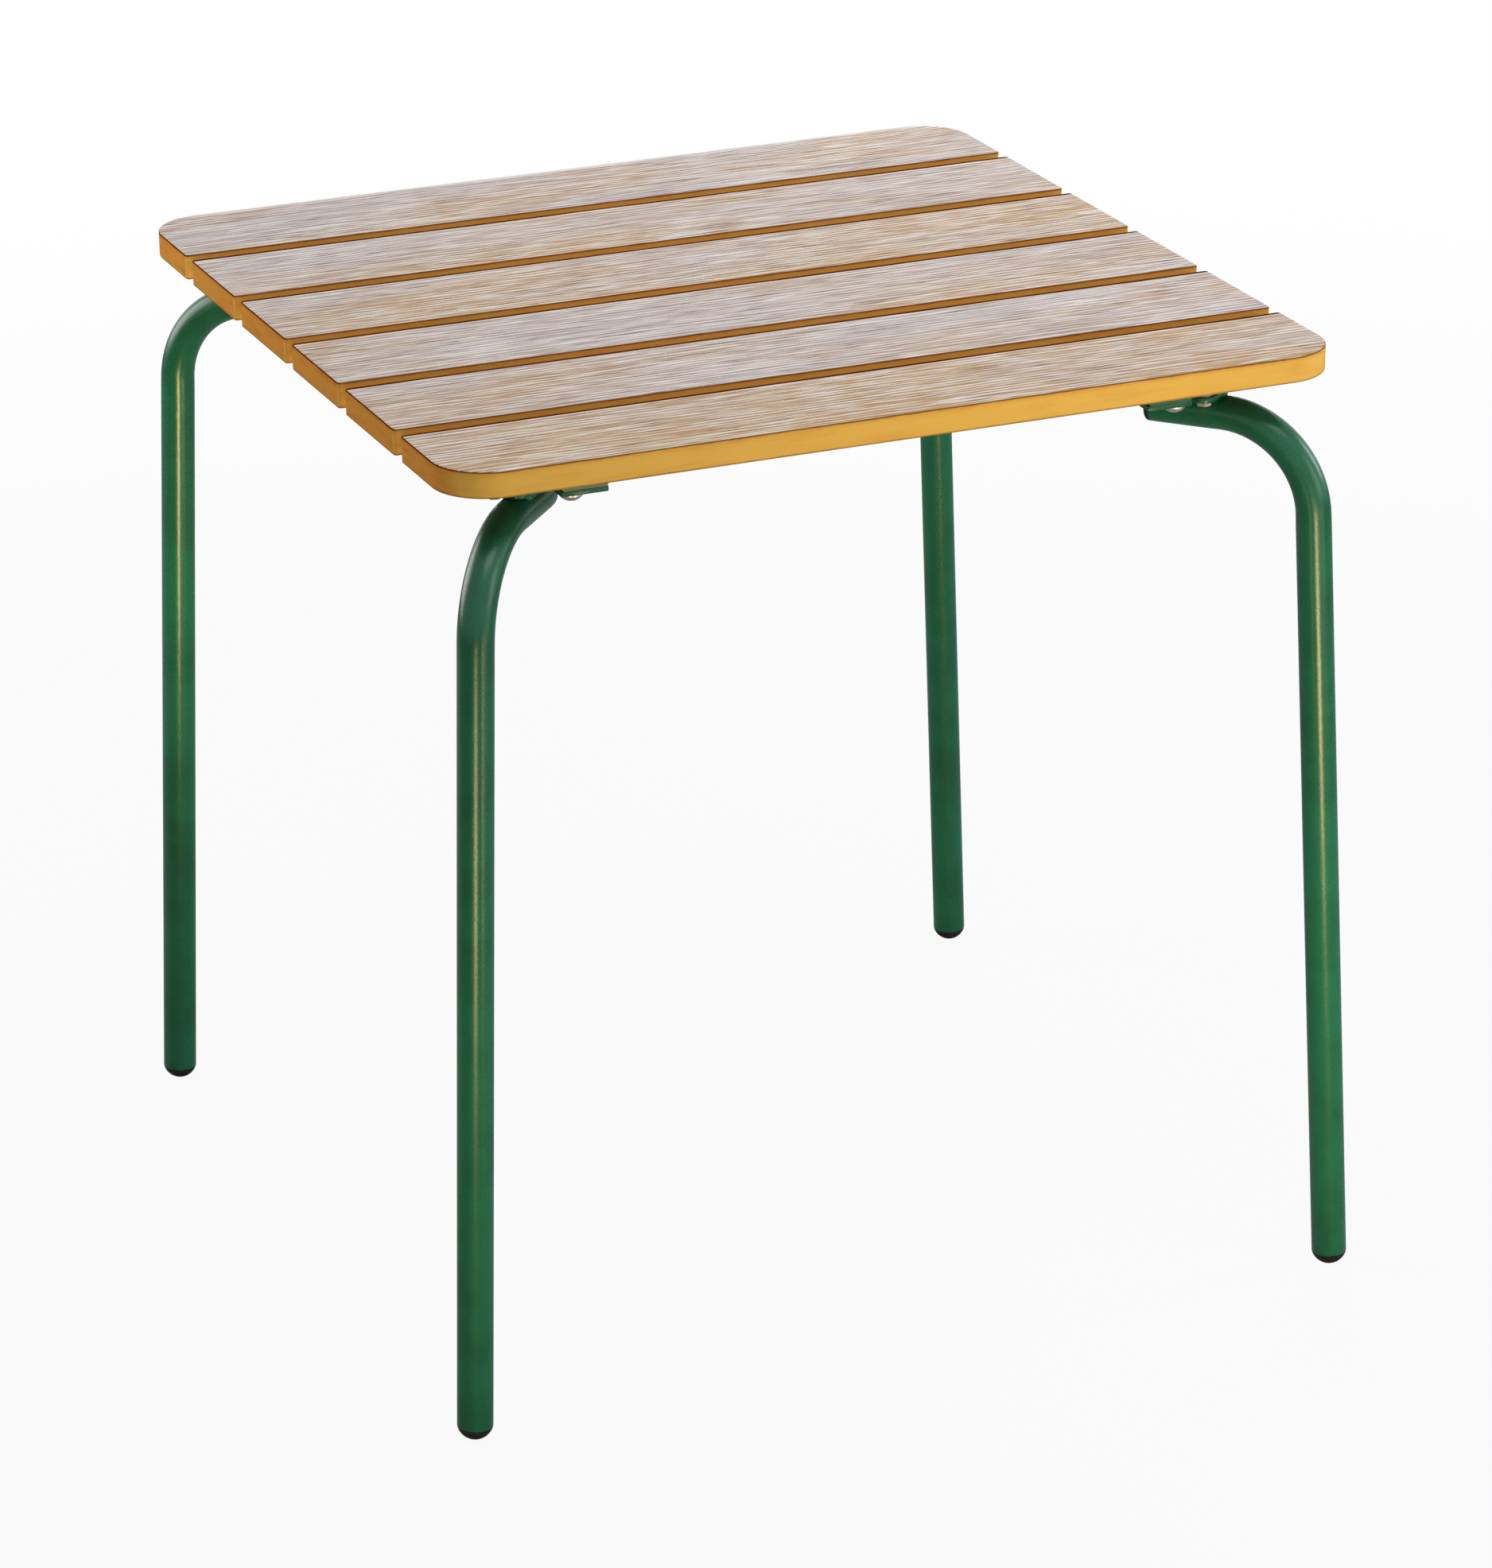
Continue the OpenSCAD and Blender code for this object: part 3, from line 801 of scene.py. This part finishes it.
class TABLE_OT_welds(bpy.types.Operator):
    """Make the weld beads between the tubes and their plates"""

    bl_idname = "table.welds"
    bl_label = "Weld beads"

    def execute(self, context):
        sizes = context.scene.table_sizes
        coat = shared_finish(context, "textured_green_coat", powder_coat_finish)
        path = LegPath(sizes)
        beads = [bead_skin(path, sizes, side) for side in (-1, 1)]
        for row, side in CORNERS:
            node = f"weld_{row}_{side}"
            mesh = skin(node, [(at_corner(bead, row, side), False) for bead in beads])
            finish_mesh(node + "_beads", mesh, coat, [node])
        return {"FINISHED"}


class TABLE_OT_feet(bpy.types.Operator):
    """Make the domed feet in the lower ends of the tubes"""

    bl_idname = "table.feet"
    bl_label = "Feet"

    def execute(self, context):
        sizes = context.scene.table_sizes
        plastic = shared_finish(context, "satin_black_plastic", plastic_finish)
        rings = foot_skin(LegPath(sizes), sizes)
        for row, side in CORNERS:
            node = f"foot_{row}_{side}"
            mesh = skin(node, [(at_corner(rings, row, side), False)])
            finish_mesh(node + "_dome", mesh, plastic, [node])
        return {"FINISHED"}


class TABLE_OT_end_plugs(bpy.types.Operator):
    """Make the plugs in the upper ends of the tubes"""

    bl_idname = "table.end_plugs"
    bl_label = "End plugs"

    def execute(self, context):
        sizes = context.scene.table_sizes
        plastic = shared_finish(context, "satin_black_plastic", plastic_finish)
        rings = end_plug_skin(LegPath(sizes), sizes)
        for row, side in CORNERS:
            node = f"end_plug_{row}_{side}"
            mesh = skin(node, [(at_corner(rings, row, side), False)])
            finish_mesh(node + "_cap", mesh, plastic, [node])
        return {"FINISHED"}


class TABLE_OT_fasteners(bpy.types.Operator):
    """Dress the bolts, screws, sleeves and inserts"""

    bl_idname = "table.fasteners"
    bl_label = "Fasteners"

    def execute(self, context):
        colours = context.scene.table_finishes
        zinc = metal_finish("plated_zinc", tuple(colours.zinc), paint("#8d8577"))
        brass = metal_finish("turned_brass", tuple(colours.brass), paint("#7d5f2c"))
        for node in ("domed_bolts", "slat_screws", "ear_screws", "ear_spacers"):
            finish_mesh(node + "_plated", rounded_copy(node, 0), zinc, [node], 30)
        node = "threaded_inserts"
        finish_mesh(node + "_turned", rounded_copy(node, 0), brass, [node], 30)
        return {"FINISHED"}


# The stage

def seen_by(recipe, *kinds):
    """1 for the kinds of ray that are named, and 0 for the others."""
    rays = recipe.tree.nodes.new("ShaderNodeLightPath")
    share = Wire(recipe, rays.outputs[kinds[0]])
    for kind in kinds[1:]:
        share = recipe.maths("MAXIMUM", share, Wire(recipe, rays.outputs[kind]))
    return share


def make_floor(colours):
    """A wide pale floor. It turns into the plain white background away from the table, and near the
    table it still takes the table's shadow and shows it in reflections. It is clear from below."""
    material, r = new_recipe("studio_floor")
    plain = r.node("ShaderNodeBsdfDiffuse", inputs={"Color": tuple(colours.floor)})
    glow = r.node("ShaderNodeEmission", inputs={"Color": (1, 1, 1), "Strength": 1.0})
    away = r.node("ShaderNodeVectorMath", {"operation": "LENGTH"}, {0: r.place()}, "Value")
    shadow_share = 0.07
    white_share = 1 - shadow_share + r.ramp(away, 1.3, 3.0) * shadow_share
    direct = seen_by(r, "Is Camera Ray") * white_share
    mirrored = seen_by(r, "Is Glossy Ray", "Is Transmission Ray") * r.ramp(away, 4.0, 9.0)
    shown_white = r.maths("MAXIMUM", direct, mirrored)
    mixed = r.node("ShaderNodeMixShader", inputs={0: shown_white, 1: plain, 2: glow})
    below = r.node("ShaderNodeNewGeometry", output="Backfacing")
    clear = r.node("ShaderNodeBsdfTransparent")
    two_sided = r.node("ShaderNodeMixShader", inputs={0: below, 1: mixed, 2: clear})
    r.node("ShaderNodeOutputMaterial", inputs={"Surface": two_sided})
    reach = 12
    corners = [(-reach, -reach, 0), (reach, -reach, 0), (reach, reach, 0), (-reach, reach, 0)]
    mesh = bpy.data.meshes.new("studio_floor")
    mesh.from_pydata(corners, [], [(0, 1, 2, 3)])
    mesh.materials.append(material)
    floor = bpy.data.objects.new("studio_floor", mesh)
    bpy.context.scene.collection.objects.link(floor)


def make_world(strength):
    """Even light from all round, and a white background for what looks at it directly."""
    world = bpy.data.worlds.new("studio")
    bpy.context.scene.world = world
    world.use_nodes = True
    r = Recipe(world.node_tree)
    soft = r.node("ShaderNodeBackground", inputs={"Color": (1, 1, 1), "Strength": strength})
    white = r.node("ShaderNodeBackground", inputs={"Color": (1, 1, 1), "Strength": 1.0})
    seen = seen_by(r, "Is Camera Ray", "Is Glossy Ray", "Is Transmission Ray")
    mixed = r.node("ShaderNodeMixShader", inputs={0: seen, 1: soft, 2: white})
    r.node("ShaderNodeOutputWorld", inputs={"Surface": mixed})


def make_lamp(name, place, aim, size, power, tint, spread=180):
    """A soft box: an area lamp that looks at a point. Sizes are in metres, the power in watts, and
    the spread in degrees: less than 180 stands for a grid on its front."""
    lamp = bpy.data.lights.new(name, "AREA")
    lamp.shape = "RECTANGLE"
    lamp.size, lamp.size_y = size
    lamp.energy = power
    lamp.color = tint
    lamp.spread = math.radians(spread)
    box = bpy.data.objects.new(name, lamp)
    bpy.context.scene.collection.objects.link(box)
    box.location = place
    box.rotation_euler = (Vector(aim) - Vector(place)).to_track_quat("-Z", "Y").to_euler()
    box.visible_camera = False


def around(bearing, distance, height):
    """A place at a bearing in degrees from +X, round the table."""
    turn = math.radians(bearing)
    return (distance * math.cos(turn), distance * math.sin(turn), height)


def large_soft_boxes():
    """The lamps that show the form: in front on the right, at both sides, behind and overhead."""
    middle = (0, 0, 0.4)
    make_lamp("key_front_right", around(-50, 2.6, 1.2), middle, (1.1, 1.2), 13, (0.98, 0.98, 0.88))
    make_lamp("window_right", around(-8, 2.6, 1.4), middle, (0.8, 1.0), 20, (0.84, 0.92, 1.0))
    make_lamp("window_back", around(58, 2.6, 1.2), middle, (0.8, 1.2), 17, (0.93, 0.96, 1.0))
    make_lamp("window_left", around(140, 2.4, 1.2), middle, (1.6, 1.4), 38, (1.0, 0.97, 0.92))
    make_lamp("high_back", around(38, 1.5, 2.1), middle, (1.0, 1.0), 22, (0.78, 0.88, 1.0))
    make_lamp("overhead", (0.1, -1.1, 2.8), (0, 0, 0.7), (1.6, 1.6), 27, (1.0, 1.0, 0.98))


def low_warm_lamps():
    """Lamps near the floor. The gridded strips draw the warm streaks down the tubes."""
    amber = (1.0, 0.76, 0.36)
    cream = (1.0, 0.92, 0.68)
    near_left = (-0.34, 0, 0.35)
    near_right = (0.34, 0, 0.35)
    far_left = (-0.35, 0.33, 0.5)
    make_lamp("low_front_right", around(-68, 2.0, 0.2), (0, 0, 0.4), (1.5, 0.35), 4, cream)
    make_lamp("strip_left", (-0.66, -1.21, 0.17), near_left, (0.28, 0.3), 1.2, amber, 80)
    make_lamp("strip_right", (0.14, -1.32, 0.17), near_right, (0.28, 0.3), 2.2, amber, 80)
    make_lamp("strip_far_left", (-0.58, -0.52, 0.28), far_left, (0.12, 0.36), 0.22, amber, 26)


def make_camera():
    """The photograph's view: the camera's place, then its heading, downward pitch and roll."""
    data = bpy.data.cameras.new("view")
    camera = bpy.data.objects.new("view", data)
    bpy.context.scene.collection.objects.link(camera)
    heading, pitch, roll = (math.radians(v) for v in (VIEW_HEADING, VIEW_PITCH, VIEW_ROLL))
    turn = Matrix.Rotation(-heading, 4, "Z") @ Matrix.Rotation(math.pi / 2 - pitch, 4, "X")
    place = Matrix.Translation(VIEW_PLACE)
    camera.matrix_world = place @ turn @ Matrix.Rotation(-roll, 4, "Z")
    data.sensor_width = 36
    data.lens = FOCAL_PIXELS * data.sensor_width / PHOTO_HEIGHT
    data.clip_end = 60
    bpy.context.scene.camera = camera


class TABLE_OT_stage(bpy.types.Operator):
    """Set up the floor, the soft light and the camera"""

    bl_idname = "table.stage"
    bl_label = "Stage"

    def execute(self, context):
        make_floor(context.scene.table_finishes)
        make_world(0.12)
        large_soft_boxes()
        low_warm_lamps()
        make_camera()
        context.scene.view_settings.view_transform = "Standard"
        return {"FINISHED"}


OPERATORS = (
    TABLE_OT_slats,
    TABLE_OT_cross_bars,
    TABLE_OT_legs,
    TABLE_OT_leg_plates,
    TABLE_OT_welds,
    TABLE_OT_feet,
    TABLE_OT_end_plugs,
    TABLE_OT_fasteners,
    TABLE_OT_stage,
)


class TABLE_PT_pieces(bpy.types.Panel):
    """Lists the steps that build the table"""

    bl_idname = "TABLE_PT_pieces"
    bl_label = "Garden Table"
    bl_space_type = "VIEW_3D"
    bl_region_type = "UI"
    bl_category = "Garden Table"

    def draw(self, context):
        for operator in OPERATORS:
            self.layout.operator(operator.bl_idname)


CLASSES = (TableSizes, TableFinishes, *OPERATORS, TABLE_PT_pieces)


def register():
    """Adds the settings, the operators and the panel to Blender."""
    for cls in CLASSES:
        bpy.utils.register_class(cls)
    bpy.types.Scene.table_sizes = bpy.props.PointerProperty(type=TableSizes)
    bpy.types.Scene.table_finishes = bpy.props.PointerProperty(type=TableFinishes)


def unregister():
    """Takes them out again."""
    del bpy.types.Scene.table_finishes
    del bpy.types.Scene.table_sizes
    for cls in reversed(CLASSES):
        bpy.utils.unregister_class(cls)


def main():
    """Runs each operator once."""
    register()
    for operator in OPERATORS:
        group, name = operator.bl_idname.split(".")
        getattr(getattr(bpy.ops, group), name)()


if __name__ == "__main__":
    main()
